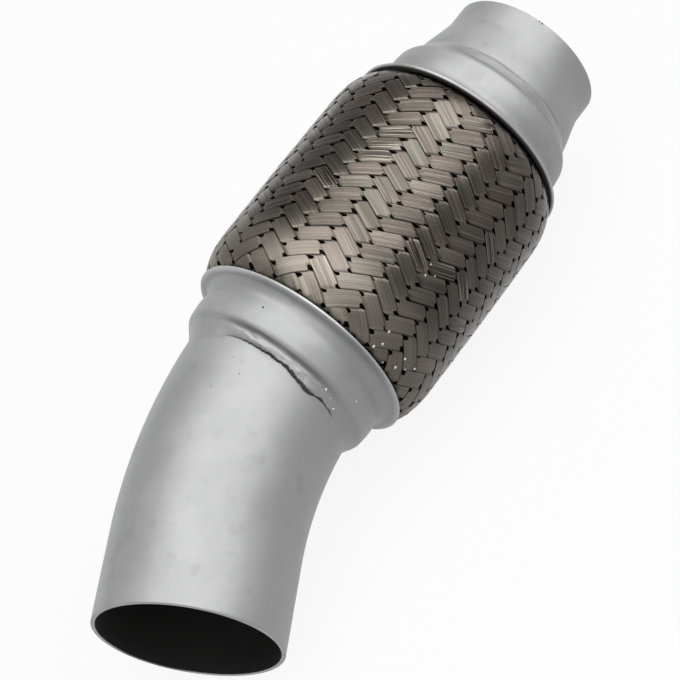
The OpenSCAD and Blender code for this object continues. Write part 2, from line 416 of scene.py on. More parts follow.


# Where the braid's finish changes: heights between which painted shade sets in below, and places
# along the flex axis between which painted light grows on the end at the inlet
PAINTED_SHADE_HEIGHTS = (0.03, 0.004)
PAINTED_LIGHT_END = (-0.108, -0.124)
WIRES_PER_RIBBON = 10.0


def ribbon_wire(name, colour):
    """Flat ribbons of drawn wires, each with its tone, some of them split apart, with painted
    glints and shade.

    They have painted light by the inlet, painted shade below, and black shade where they dive and
    at one edge.
    """
    finish = Finish(name)
    strand = finish.node("ShaderNodeUVMap", {"uv_map": "strand"}, {})
    across, along = finish.axis(strand, "X"), finish.axis(strand, "Y")
    ribbon = across.whole()
    wires = across * WIRES_PER_RIBBON
    place = finish.place()

    def cloud(x, y, z, detail=1.0):
        spot = finish.node("ShaderNodeCombineXYZ", {}, {"X": x, "Y": y, "Z": z})
        return finish.noise(spot, scale=1.0, detail=detail, roughness=0.6)

    own = cloud(wires.whole() * 1.37, along * 0.3, ribbon * 0.73)
    mood = cloud(ribbon * 5.3, along * 0.24, ribbon * 1.9)
    tint = cloud(ribbon * 3.1, along * 0.17, ribbon * 2.3 + 40.0)
    parted_glint_and_shade = cloud(ribbon * 4.1, along * 0.22, ribbon + 20.0).rise(0.61, 0.7)
    grain = cloud(across * 34.0, along * 4.5, ribbon, detail=2.0)
    stray = cloud(across * 13.0, along * 0.35, ribbon * 1.7 + 11.0)
    groove = (wires.part() - 0.5).size() * 2.0
    # A painted shadow line along one edge of each ribbon
    edge = across.part().rise(0.91, 0.97)
    recess_shade = finish.marked("sink")
    low = finish.axis(place, "Z").rise(*PAINTED_SHADE_HEIGHTS)
    painted_light = finish.axis(place, "X").rise(*PAINTED_LIGHT_END)
    red, green, blue = colour
    cool, warm = (red * 0.95, green * 1.01, blue), (red * 1.07, green, blue * 1.01)
    tone = finish.layered(
        finish.colour(tint.rise(0.35, 0.65), cool, warm), colour,
        (mood.rise(0.6, 0.38) * 0.5, 0.45),
        (mood.rise(0.55, 0.7) * 0.4, 1.5),
        (own.rise(0.5, 0.68) * 0.5, 1.6),
        (own.rise(0.5, 0.32) * 0.5, 0.45),
        ((grain - 0.5).size() * 0.9, 0.45),
        # Painted glints and painted shade along parted wires
        (parted_glint_and_shade * stray.rise(0.55, 0.6), 2.2),
        (parted_glint_and_shade * stray.rise(0.5, 0.45) * 0.8, 0.2),
        # Painted light on the braid's end by the inlet
        (painted_light * 0.4, 2.6))
    # Painted shade, darker towards the bottom of the braid
    tone = finish.darkened(tone, low * (0.6 + mood * 0.3), 0.2)
    # Painted black shade where the ribbons dive and in the pockets, and a painted shadow along one
    # edge
    tone = finish.layered(tone, colour, (recess_shade.rise(0.55, 0.85) * 0.97, 0.04), (edge * 0.75, 0.1))
    relief = own * 0.4 + grain * 0.5 + stray * 0.6 - groove * groove * 0.4
    return finish.surface(
        Base_Color=tone, Metallic=1.0, Roughness=0.2 + grain * 0.1 + recess_shade * 0.3 + painted_light * 0.16,
        Normal=finish.bump(relief, strength=0.6, distance=0.0001))


def drop_metal(name, colour):
    """Spatter: bright frozen drops with a dull skin in places."""
    finish = Finish(name)
    skin = finish.noise(finish.place(), scale=1400.0)
    tone = finish.colour(skin.rise(0.4, 0.65), shade(colour, 1.5), shade(colour, 0.9))
    return finish.surface(Base_Color=tone, Metallic=0.7, Roughness=0.28 + skin * 0.1)


def inside_soot(name, colour):
    """Inside of the pipe: burnt dark and dull; also painted black shade on the bellows and the
    liner.
    """
    finish = Finish(name)
    cloud = finish.noise(finish.place(), scale=120.0, detail=4.0, roughness=0.6)
    tone = finish.colour(cloud, shade(colour, 0.7), shade(colour, 1.4))
    return finish.surface(Base_Color=tone, Metallic=0.2, Roughness=0.72 + cloud * 0.15)


# Each finish and the colour that it starts from
FINISHES = {
    "blasted_sheet": (blasted_sheet, "steel"),
    "bead_metal": (bead_metal, "weld"),
    "ribbon_wire": (ribbon_wire, "wire"),
    "drop_metal": (drop_metal, "weld"),
    "inside_soot": (inside_soot, "soot"),
}


def finish_named(name):
    """The material of that name, made once."""
    if name in bpy.data.materials:
        return bpy.data.materials[name]
    make, colour = FINISHES[name]
    return make(name, getattr(bpy.context.scene.flex_colours, colour))


# Curves and places

def held(value):
    """The value, held between 0 and 1."""
    return min(1.0, max(0.0, value))


def eased(share):
    """A share from 0 to 1 that starts and ends gently."""
    return share * share * (3 - 2 * share)


def at_least(low, share):
    """A share from 0 to 1, brought to lie between low and 1."""
    return low + (1 - low) * share


def bell(place, middle, width, steep=2):
    """1 at the middle, fading to 0 past the width."""
    return math.exp(-((place - middle) / width) ** steep)


def near(angle, middle, width, steep=2):
    """A bell round the pipe: the angle in radians, its middle and width in degrees."""
    away = math.remainder(angle - math.radians(middle), 2 * math.pi)
    return bell(away, 0, math.radians(width), steep)


def ripples(ring, *waves):
    """Noise round the pipe: each wave has its closeness, its pattern's start and its height."""
    return sum(noise.noise(ring * close + Vector((0, 0, start))) * height
               for close, start, height in waves)


def curve(points, place):
    """Height of a smooth curve through points of (place, height)."""
    place = min(points[-1][0], max(points[0][0], place))
    index = 0
    while index < len(points) - 2 and place > points[index + 1][0]:
        index += 1
    (x0, y0), (x1, y1) = points[index], points[index + 1]
    before, after = points[max(0, index - 1)], points[min(len(points) - 1, index + 2)]
    span = x1 - x0
    slope0 = (y1 - before[1]) / (x1 - before[0]) * span
    slope1 = (after[1] - y0) / (after[0] - x0) * span
    t = (place - x0) / span
    return (y0 * (1 + 2 * t) * (1 - t) ** 2 + slope0 * t * (1 - t) ** 2
            + y1 * t * t * (3 - 2 * t) + slope1 * t * t * (t - 1))


def round_place(x, radius, angle):
    """The point at a place, radius and angle about the flex axis."""
    side = BEND_SIDE * math.cos(angle) - BEND_NORMAL * math.sin(angle)
    return Vector((x, 0, 0)) + side * radius


def angle_at(place):
    """A point's angle about the flex axis, from the side of the bend."""
    return math.atan2(-BEND_NORMAL.dot(place), BEND_SIDE.dot(place))


def radius_at(place):
    """A point's distance from the flex axis."""
    return math.hypot(place.y, place.z)


def rim_way(turn):
    """Direction from the middle of the inlet's mouth to its rim, by angle from its lowest point."""
    down = (INLET_AXIS * INLET_AXIS.z - Vector((0, 0, 1))).normalized()
    return down * math.cos(turn) + INLET_AXIS.cross(down) * math.sin(turn)


def tube_offset(sizes, x):
    """How far the inlet's centre line lies to the side of the flex axis, at a place along it."""
    reach = sizes.inlet_lip - sizes.tube_inset - x
    if reach <= 0:
        return 0.0
    bend, angle = sizes.bend_radius, sizes.bend_angle
    limit = bend * math.sin(angle)
    if reach < limit:
        return bend - math.sqrt(bend ** 2 - reach ** 2)
    return bend * (1 - math.cos(angle)) + (reach - limit) * math.tan(angle)


# Rays that look for a surface: radius where they start, length, degrees that they try to the side
RAY_START = 0.06
RAY_LENGTH = 0.04
RAYS_ASIDE = (0, 1, -1, 2, -2, 3, -3)


def outermost(names, x, angle):
    """The outermost point of some pieces at a place and an angle, and the way that it faces.

    A ray that goes through a pit of the braid is sent again, a little to the side.
    """
    for aside in RAYS_ASIDE:
        outside = round_place(x, RAY_START, angle + math.radians(aside))
        inward = (Vector((x, 0, 0)) - outside).normalized()
        hits = []
        for name in names:
            struck, spot, normal, _ = bpy.data.objects[name].ray_cast(
                outside, inward, distance=RAY_LENGTH)
            if struck:
                hits.append((spot, normal))
        if hits:
            return min(hits, key=lambda hit: (hit[0] - outside).length)
    raise RuntimeError("no surface at this place and angle")


# Mesh helpers

def piece(name, bm, finishes, nodes):
    """Makes the bmesh a piece of the pipe that stands for those nodes."""
    mesh = bpy.data.meshes.new(name)
    bm.to_mesh(mesh)
    bm.free()
    for finish in finishes:
        mesh.materials.append(finish_named(finish))
    made = bpy.data.objects.new(name, mesh)
    bpy.context.scene.collection.objects.link(made)
    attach(made, "root")
    if nodes:
        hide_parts(*nodes)


def spun(profile, steps):
    """Turns a closed profile of (place along X, radius) about the flex axis."""
    bm = bmesh.new()
    verts = [bm.verts.new((x, 0, radius)) for x, radius in profile]
    edges = [bm.edges.new(ends) for ends in zip(verts, verts[1:] + verts[:1])]
    bmesh.ops.spin(bm, geom=verts + edges, cent=(0, 0, 0), axis=(1, 0, 0), dvec=(0, 0, 0),
                   angle=2 * math.pi, steps=steps, use_merge=True, use_normal_flip=False,
                   use_duplicate=False)
    bmesh.ops.remove_doubles(bm, verts=bm.verts, dist=1e-7)
    bmesh.ops.recalc_face_normals(bm, faces=bm.faces)
    return bm


def drop(bm, spot, radius, shape=Matrix()):
    """Adds a small drop at a spot, with its radius in millimetres."""
    bmesh.ops.create_icosphere(bm, subdivisions=2, radius=radius / MM_PER_M,
                               matrix=Matrix.Translation(spot) @ shape)


def face_outwards(bm, faces):
    """Turns the faces of an open band so that they look away from the flex axis."""
    sample = faces[len(faces) // 2]
    sample.normal_update()
    middle = sample.calc_center_median()
    if sample.normal.dot(Vector((0, middle.y, middle.z))) < 0:
        bmesh.ops.reverse_faces(bm, faces=faces)


def smooth(bm, sharp=math.radians(40)):
    """Smooth faces, with edges sharper than that kept crisp."""
    for face in bm.faces:
        face.smooth = True
    for edge in bm.edges:
        edge.smooth = edge.calc_face_angle(0.0) < sharp


def mark(bm, name, share):
    """Gives each vertex a share that the finish reads as an attribute."""
    layer = bm.verts.layers.float.new(name)
    for vert in bm.verts:
        vert[layer] = share(vert)


# Rise of a surface's normal below which shade is painted on, and the range over which it deepens
UNDER_START = 0.65
UNDER_RANGE = 0.45


def mark_painted_underside_shade(bm):
    """Marks what faces sideways or down, where shade is painted on."""
    bm.normal_update()
    mark(bm, "under", lambda vert: eased(held((UNDER_START - vert.normal.z) / UNDER_RANGE)))


# Operators, one for each piece or group of pieces

class FLEXPIPE_OT_tubes(bpy.types.Operator):
    """Sweeps the bent inlet tube and turns the narrowed outlet tube"""
    bl_idname = "flexpipe.tubes"
    bl_label = "Tubes"

    STEPS_ROUND = 160
    BEND_STEPS = 40
    STRAIGHT_STEPS = 6
    TAPER_STEPS = 24

    # Share of the outlet's taper that is straight, and places of the rings on its land
    TAPER_STRAIGHT = 0.6
    LAND_RINGS = (0.7, 0.35)

    # Rounding of a mouth's outer and inner edge, and the last rings before the inlet's mouth
    RIM = 0.00015
    INNER_RIM = 0.2 * RIM
    MOUTH_RINGS = (0.002, 0.0012)

    # How far behind a mouth its worn rim, its burnt rim and the clean metal end, and how worn it is
    WORN_DEPTH = 0.1 * RIM
    BURNT_DEPTH = 1.5 * RIM
    CLEAN_DEPTH = 2 * RIM
    WORN_SHARE = 0.3

    # Burnt part of the inlet's rim: its middle, and how near to it the soot begins and thickens
    BURNT_MIDDLE = math.radians(-56)
    BURNT_START = 0.88
    BURNT_RANGE = 0.08

    def execute(self, context):
        sizes = context.scene.flex_sizes
        self.inlet(sizes)
        self.outlet(sizes)
        return {"FINISHED"}

    def inlet(self, sizes):
        """Sweeps the inlet from its neck round the bend to its mouth, and back along its inside."""
        start = Vector((sizes.inlet_lip - sizes.tube_inset, 0, 0))
        hub = start + BEND_SIDE * sizes.bend_radius
        radius, rim, steps = sizes.tube_radius, self.RIM, self.STRAIGHT_STEPS
        shrink = (radius - sizes.tube_wall) / radius
        bm = bmesh.new()
        ring = bmesh.ops.create_circle(
            bm, cap_ends=False, segments=self.STEPS_ROUND, radius=radius,
            matrix=Matrix.Translation(start) @ Matrix.Rotation(math.pi / 2, 4, "Y"))
        edges = list(dict.fromkeys(edge for vert in ring["verts"] for edge in vert.link_edges))
        edges = self.bend(bm, edges, hub, sizes.bend_angle)
        first_ring, last_ring = self.MOUTH_RINGS
        for _ in range(steps):
            edges = self.pull(bm, edges, INLET_AXIS * (sizes.inlet_straight - first_ring) / steps)
        for setback in (last_ring, rim):
            past = self.past_mouth(edges[0].verts[0].co)
            edges = self.pull(bm, edges, INLET_AXIS * (-setback - past))
        edges = self.pull(bm, edges, INLET_AXIS * rim, INLET_MOUTH, 1 - rim / radius)
        edges = self.pull(bm, edges, Vector(), INLET_MOUTH, shrink + self.INNER_RIM / radius)
        edges = self.pull(bm, edges, -INLET_AXIS * rim, INLET_MOUTH, 1 - self.INNER_RIM / radius)
        outside = set(bm.faces)
        for _ in range(steps):
            edges = self.pull(bm, edges, -INLET_AXIS * (sizes.inlet_straight - rim) / steps)
        edges = self.bend(bm, edges, hub, -sizes.bend_angle)
        for face in bm.faces:
            if face not in outside:
                face.material_index = 1
        self.pull(bm, edges, Vector(), start, 1 / shrink)
        bmesh.ops.remove_doubles(bm, verts=bm.verts, dist=5e-6)
        bmesh.ops.recalc_face_normals(bm, faces=bm.faces)
        smooth(bm)
        mark_painted_underside_shade(bm)
        mark(bm, "worn", lambda vert: self.worn(self.past_mouth(vert.co)))
        mark(bm, "grime", lambda vert: self.burnt(vert.co))
        piece("inlet_pipe", bm, ["blasted_sheet", "inside_soot"], ["inlet_tube"])

    def past_mouth(self, place):
        """How far a point lies past the inlet's mouth, negative before it."""
        return (place - INLET_MOUTH).dot(INLET_AXIS)

    def worn(self, past):
        """How worn a point is that lies so far past its mouth: only the rim is."""
        return self.WORN_SHARE if past > -self.WORN_DEPTH else 0.0

    def burnt(self, place):
        """Share of soot on the part of the inlet's rim that is burnt dark."""
        if self.past_mouth(place) < -self.BURNT_DEPTH:
            return 0.0
        nearness = (place - INLET_MOUTH).normalized().dot(rim_way(self.BURNT_MIDDLE))
        return held((nearness - self.BURNT_START) / self.BURNT_RANGE)

    def bend(self, bm, edges, hub, angle):
        """Spins a ring of edges along the bend and returns its far ring."""
        swept = bmesh.ops.spin(
            bm, geom=edges, cent=hub, axis=BEND_NORMAL, dvec=(0, 0, 0), angle=angle,
            steps=self.BEND_STEPS, use_merge=False, use_normal_flip=False, use_duplicate=False)
        return [item for item in swept["geom_last"] if isinstance(item, bmesh.types.BMEdge)]

    def pull(self, bm, edges, way, middle=None, scale=1.0):
        """Extrudes a ring of edges, moves it, scales it about a middle and returns the new ring."""
        pulled = bmesh.ops.extrude_edge_only(bm, edges=edges)["geom"]
        verts = [item for item in pulled if isinstance(item, bmesh.types.BMVert)]
        bmesh.ops.translate(bm, vec=way, verts=verts)
        if middle is not None:
            bmesh.ops.scale(bm, vec=(scale, scale, scale), space=Matrix.Translation(-middle),
                            verts=verts)
        moved = set(verts)
        return [item for item in pulled if isinstance(item, bmesh.types.BMEdge)
                and all(vert in moved for vert in item.verts)]

    def outlet(self, sizes):
        """Turns the outlet, which narrows past its weld and runs straight to its mouth."""
        lip, wall, rim = sizes.outlet_lip, sizes.tube_wall, self.RIM
        wide, narrow = sizes.tube_radius, sizes.outlet_radius
        begin = lip + sizes.neck_length + sizes.weld_length
        taper = []
        for i in range(self.TAPER_STEPS + 1):
            share = i / self.TAPER_STEPS
            ease = self.TAPER_STRAIGHT * share + (1 - self.TAPER_STRAIGHT) * eased(share)
            taper.append((begin + sizes.outlet_taper * share, wide + (narrow - wide) * ease))
        land = [(taper[-1][0] * share, narrow) for share in self.LAND_RINGS]
        mouth = [(-rim, narrow), (0, narrow - rim), (0, narrow - wall + rim), (-rim, narrow - wall)]
        bore = [(x, radius - wall) for x, radius in reversed(taper)]
        inset = lip + sizes.tube_inset
        bm = spun([(inset, wide), *taper, *land, *mouth, *bore, (inset, wide - wall)],
                  self.STEPS_ROUND)
        smooth(bm)
        for face in bm.faces:
            middle = face.calc_center_median()
            inward = face.normal.dot(Vector((0, middle.y, middle.z))) < 0
            face.material_index = 1 if inward and middle.x < -self.CLEAN_DEPTH else 0
        mark_painted_underside_shade(bm)
        mark(bm, "worn", lambda vert: self.worn(vert.co.x))
        piece("outlet_pipe", bm, ["blasted_sheet", "inside_soot"], ["outlet_tube"])


class FLEXPIPE_OT_cups(bpy.types.Operator):
    """Turns the two flared cups that clamp the braid"""
    bl_idname = "flexpipe.cups"
    bl_label = "Cups"

    STEPS_ROUND = 192
    NECK_STEPS = 8
    CURL_STEPS = 14
    INNER_CURL_STEPS = 10

    # Rounded end of a neck: turns of its points in degrees, share of the wall that it takes off
    END_TURNS = range(6, 91, 12)
    END_SHARE = 0.9

    # Rounding of a lip's outer and inner edge, and the width and brightness of its worn edge
    LIP_ROUND = 0.00018
    LIP_INNER_ROUND = 0.0005
    WORN_WIDTH = 0.0006
    WORN_SHARE = 0.6

    # Shares of the wall past which a point lies on the inside, in the neck and in the curl
    NECK_INSIDE = 0.92
    CURL_INSIDE = 0.6

    # Reach of the painted shade of the crease on either side of a neck's end
    CREASE_WIDTH = 0.0013

    def execute(self, context):
        sizes = context.scene.flex_sizes
        self.cup("inlet", sizes, sizes.inlet_lip, way=-1, crease=0.5)
        self.cup("outlet", sizes, sizes.outlet_lip, way=1, crease=0.2)
        return {"FINISHED"}

    def cup(self, end, sizes, lip, way, crease):
        """Turns one cup: way is its direction from its lip, crease the painted shade at its neck's
        end.
        """
        bm = spun([(lip + way * along, radius) for along, radius in self.section(sizes)],
                  self.STEPS_ROUND)
        smooth(bm)
        mark_painted_underside_shade(bm)
        edge = sizes.lip_radius - self.WORN_WIDTH

        # Painted black shade on the cup's inner side and painted shade at its neck's end
        def grime(vert):
            along = (vert.co.x - lip) * way
            return max(self.inner(sizes, along, radius_at(vert.co)),
                       crease * self.creased(sizes, along, angle_at(vert.co)))

        mark(bm, "worn", lambda vert: self.WORN_SHARE if radius_at(vert.co) > edge else 0.0)
        mark(bm, "grime", grime)
        piece(end + "_cup_spun", bm, ["blasted_sheet"], [end + "_cup"])

    def inner(self, sizes, along, radius):
        """1 on the side of a cup that faces the braid, where black shade is painted, 0 on its
        outside.
        """
        curl, wall = sizes.lip_curl, sizes.cup_wall
        neck = sizes.lip_radius - sizes.lip_rise
        depth = curl * math.sin(sizes.lip_angle)
        if along > depth:
            return 1.0 if radius < neck - self.NECK_INSIDE * wall else 0.0
        away = math.hypot(along - depth, radius - neck - curl)
        return 1.0 if away > curl + self.CURL_INSIDE * wall else 0.0

    def creased(self, sizes, along, angle):
        """How near a point is to the open part of the crease at a neck's end, from 0 to 1, for
        painted shade.
        """
        opened = near(angle, *OPEN_CREASE, steep=4)
        return opened * bell(along, sizes.neck_length, self.CREASE_WIDTH)

    def section(self, sizes):
        """Closed section of a cup: (distance behind the lip's edge, radius)."""
        wall, curl, flare = sizes.cup_wall, sizes.lip_curl, sizes.lip_angle
        end, turn = sizes.neck_length, sizes.neck_round
        neck = sizes.lip_radius - sizes.lip_rise
        hub = neck + curl
        run = (sizes.lip_rise - curl * (1 - math.cos(flare))) / math.sin(flare)
        depth = curl * math.sin(flare) + run * math.cos(flare)

        def arc(radius, steps):
            turns = [flare * i / steps for i in range(steps + 1)]
            return [(depth - radius * math.sin(t), hub - radius * math.cos(t)) for t in turns]

        points = [(end, neck - wall)]
        for t in map(math.radians, self.END_TURNS):
            points.append((end - turn + turn * math.cos(t),
                           neck - wall * self.END_SHARE * (1 - math.sin(t))))
        for i in range(1, self.NECK_STEPS):
            share = i / self.NECK_STEPS
            points.append((end - turn + (depth - end + turn) * share,
                           neck + sizes.neck_crown * math.sin(math.pi * share)))
        points += arc(curl, self.CURL_STEPS)
        outer, inner = self.LIP_ROUND, self.LIP_INNER_ROUND
        for back, down in ((outer, 0), (0, outer), (0, wall - inner), (inner, wall)):
            points.append((back * math.cos(flare) - down * math.sin(flare),
                           sizes.lip_radius - back * math.sin(flare) - down * math.cos(flare)))
        points += reversed(arc(curl + wall, self.INNER_CURL_STEPS))
        return points


class FLEXPIPE_OT_welds(bpy.types.Operator):
    """Lays the lumpy weld beads between the necks and the tubes"""
    bl_idname = "flexpipe.welds"
    bl_label = "Welds"

    STEPS_ROUND = 540
    STEPS_ALONG = 36

    # Sections of a bead: share of its length past the neck's end, share of the neck's height
    FILLED = ((-0.5, 0.95), (-0.25, 0.93), (0.0, 0.83), (0.2, 0.63), (0.4, 0.41), (0.6, 0.22),
              (0.8, 0.08), (0.92, 0.03), (1.0, 0.005))
    CREASED = ((-0.5, 0.93), (-0.2, 0.9), (0.0, 0.76), (0.18, 0.61), (0.38, 0.6), (0.62, 0.54),
               (0.86, 0.33), (1.0, 0.0))

    # How much longer the inlet's bead is at angles from the side of the bend: degrees, millimetres
    REACH = ((-180, 0.0), (-165, 0.8), (-140, 2.6), (-122, 1.6), (-112, -0.8), (-95, -1.4),
             (-78, -1.2), (-66, -0.5), (-53, 0.8), (-43, -0.7), (-28, -0.1), (-10, 0.4), (20, 0.0))

    # Parts of a bead: middle and half-width, degrees from the side of the bend
    ROUGH_PART = (-74, 38)
    TORN_PART = (-61, 15)
    FRAYED_PART = (-40, 10)
    LINED_PART = (-32, 14)
    CRACKED_PART = (-36, 13)

    # How rough a bead is, and how open its crease, outside those parts
    ROUGH_ELSEWHERE = 0.12
    OPEN_ELSEWHERE = 0.1

    # Shade painted in the creases of the beads: middle past the neck's end, half-width
    INLET_CREASE = (-0.0002, 0.0014)
    OUTLET_CREASE = (0.0014, 0.002)
    OUTLET_CRACK = (0.0002, 0.0004)
    OUTLET_DARK = 0.5

    # Black line of painted shadow at the toe: its widths as shares of a bead, thinnest, where torn
    # and where heavy, how heavy the frayed part is, the line's place, its strength on the rough and
    # the lined part
    LINE_WIDTHS = (0.04, 0.03, 0.45)
    FRAYED_HEAVY = 0.6
    LINE_BACK = 0.4
    ROUGH_LINE = 1.3
    LINED_LINE = 0.5

    # Radius of the ring on which the noise is read, and how far a bead stays inside its solid
    NOISE_RING = 4
    CLEARANCE = 0.00003

    def execute(self, context):
        sizes = context.scene.flex_sizes
        self.bead("inlet_bead", "inlet_weld", sizes, sizes.inlet_lip, way=-1, rough=1.0)
        self.bead("outlet_bead", "outlet_weld", sizes, sizes.outlet_lip, way=1, rough=0.3)
        return {"FINISHED"}

    def bead(self, name, node, sizes, lip, way, rough):
        """Lays one bead: way is its direction from its lip, rough how uneven it is."""
        bm = bmesh.new()
        toe_shadow_layer = bm.verts.layers.float.new("toe")
        crease_layer = bm.verts.layers.float.new("crease")
        grid = bmesh.ops.create_grid(
            bm, x_segments=self.STEPS_ROUND, y_segments=self.STEPS_ALONG, size=0.5)
        inlet = way < 0
        neck = sizes.lip_radius - sizes.lip_rise
        fold = sizes.neck_round
        for vert in grid["verts"]:
            angle = (vert.co.x + 0.5) * 2 * math.pi
            share = vert.co.y + 0.5
            ring = Vector((math.cos(angle), math.sin(angle), 0)) * self.NOISE_RING
            uneven = at_least(self.ROUGH_ELSEWHERE, near(angle, *self.ROUGH_PART))
            opened = at_least(self.OPEN_ELSEWHERE, near(angle, *OPEN_CREASE, steep=4))
            length = self.length(sizes, angle, ring, way, rough * uneven)
            along = sizes.neck_length - fold + (fold + length) * share
            past = along - sizes.neck_length
            x = lip + way * along
            offset = tube_offset(sizes, x) if inlet else 0.0
            foot = offset * math.cos(angle) + math.sqrt(
                sizes.tube_radius ** 2 - (offset * math.sin(angle)) ** 2)
            filled = curve(self.FILLED, past / length)
            creased = curve(self.CREASED, past / length)
            body = math.sin(math.pi * held(past / length))
            radius = foot + (neck - foot) * (filled + (creased - filled) * opened)
            lumps = ripples(ring, (1.2, share * 4.0 + 3, 0.0006), (2.6, share * 8.0 + 7, 0.0003))
            radius += lumps * rough * uneven * body - self.CLEARANCE
            vert[toe_shadow_layer] = self.toe(angle, ring, share, uneven, inlet)
            vert[crease_layer] = self.crease(angle, past, opened, inlet)
            vert.co = round_place(x, radius, angle)
        bmesh.ops.remove_doubles(bm, verts=bm.verts, dist=1e-6)
        bmesh.ops.recalc_face_normals(bm, faces=bm.faces)
        face_outwards(bm, list(bm.faces))
        mark_painted_underside_shade(bm)
        smooth(bm, sharp=math.radians(60))
        piece(name, bm, ["bead_metal"], [node])

    def length(self, sizes, angle, ring, way, wild):
        """Length of a bead at an angle, with its wandering, ragged toe."""
        wander = ripples(ring, (2.1, way, 0.0005), (5.3, 0, 0.0003))
        ragged = ripples(ring, (13.0, 0, 0.0003), (29.0, 0, 0.00015))
        length = sizes.weld_length + (wander + ragged) * wild
        if way < 0:
            turn = math.degrees(math.remainder(angle, 2 * math.pi))
            length += curve(self.REACH, turn) / MM_PER_M
        return length

    def toe(self, angle, ring, share, uneven, inlet):
        """How black the painted shadow line at a bead's toe is, from 0 to 1."""
        torn = 0.5 + ripples(ring, (2.7, 20, 0.5), (7.0, 0, 0.1))
        heavy = 0.0
        if inlet:
            heavy = max(near(angle, *self.TORN_PART),
                        self.FRAYED_HEAVY * near(angle, *self.FRAYED_PART))
        thinnest, more, most = self.LINE_WIDTHS
        width = thinnest + more * torn + most * heavy * torn * torn
        lined = self.LINED_LINE * near(angle, *self.LINED_PART)
        strength = min(1.0, self.ROUGH_LINE * uneven + lined)
        return max(0.0, 1 - abs(share - 1 + self.LINE_BACK * width) / width) * strength

    def crease(self, angle, past, opened, inlet):
        """How dark the shade painted in the crease along a bead is, from 0 to 1."""
        if inlet:
            return opened * bell(past, *self.INLET_CREASE, steep=4)
        crack = near(angle, *self.CRACKED_PART) * bell(past, *self.OUTLET_CRACK)
        return max(self.OUTLET_DARK * opened * bell(past, *self.OUTLET_CREASE), crack)


